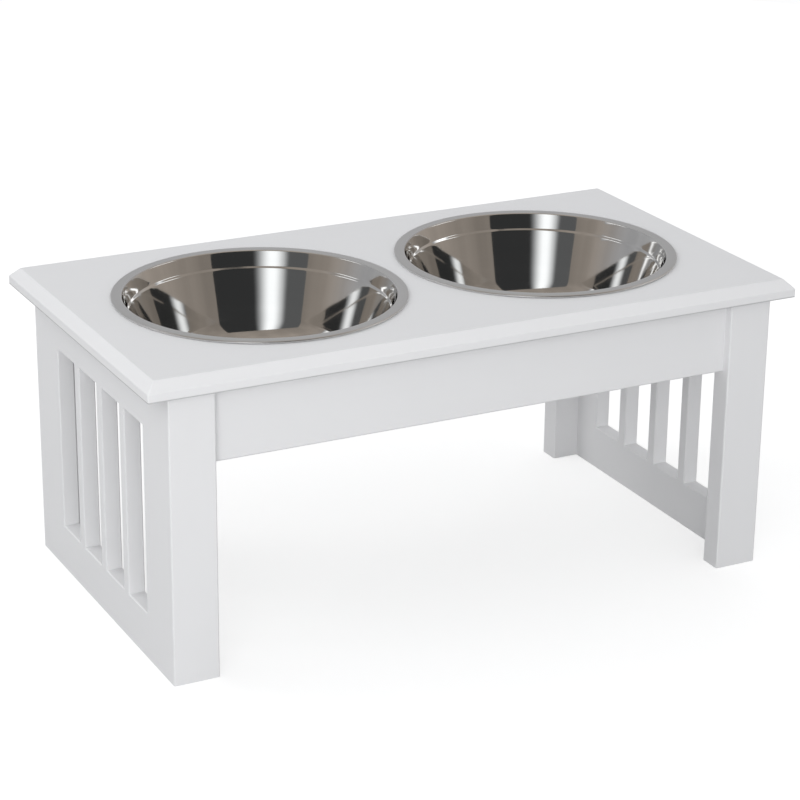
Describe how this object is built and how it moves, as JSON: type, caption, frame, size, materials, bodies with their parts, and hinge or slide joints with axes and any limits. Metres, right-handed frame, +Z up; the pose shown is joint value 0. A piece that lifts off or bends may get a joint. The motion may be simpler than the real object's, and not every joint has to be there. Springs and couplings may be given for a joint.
{
  "type": "raised dog feeding station",
  "caption": "White painted raised feeding table with bevelled top and slatted end frames, holding lift-out steel bowls with flat rims for a dog's food and water.",
  "frame": {"origin": "on the floor, under the middle of the tabletop", "axes": "+X along the table towards the right end as seen from the front, +Y towards the back, +Z up"},
  "size_m": [0.584, 0.316, 0.2602],
  "materials": {
    "white_paint": "satin white paint on wood board",
    "bowl_steel": "polished inside, satin flange",
    "bare_beech": "bare turned wood",
    "zinc_fittings": "zinc plated"
  },
  "bodies": {
    "stand": {"apron_cam_bolts": "zinc_fittings", "apron_cam_locks": "zinc_fittings", "apron_dowels": "bare_beech", "back_apron": "white_paint", "board_cam_bolts": "zinc_fittings", "board_cam_locks": "zinc_fittings", "board_dowels": "bare_beech", "front_apron": "white_paint", "left_back_post": "white_paint", "left_back_stile": "white_paint", "left_bottom_rail": "white_paint", "left_front_post": "white_paint", "left_front_stile": "white_paint", "left_slat_1": "white_paint", "left_slat_2": "white_paint", "left_slat_3": "white_paint", "left_top_rail": "white_paint", "post_dowels": "bare_beech", "rail_dowels": "bare_beech", "right_back_post": "white_paint", "right_back_stile": "white_paint", "right_bottom_rail": "white_paint", "right_front_post": "white_paint", "right_front_stile": "white_paint", "right_slat_1": "white_paint", "right_slat_2": "white_paint", "right_slat_3": "white_paint", "right_top_rail": "white_paint", "tabletop": "white_paint"},
    "left_bowl": {"left_bowl": "bowl_steel"},
    "right_bowl": {"right_bowl": "bowl_steel"}
  },
  "joints": [
    {"name": "left_bowl_lift", "type": "slide", "parent": "stand", "child": "left_bowl", "axis": [0, 0, 1], "range_m": [0, 0.1]},
    {"name": "right_bowl_lift", "type": "slide", "parent": "stand", "child": "right_bowl", "axis": [0, 0, 1], "range_m": [0, 0.1]}
  ]
}
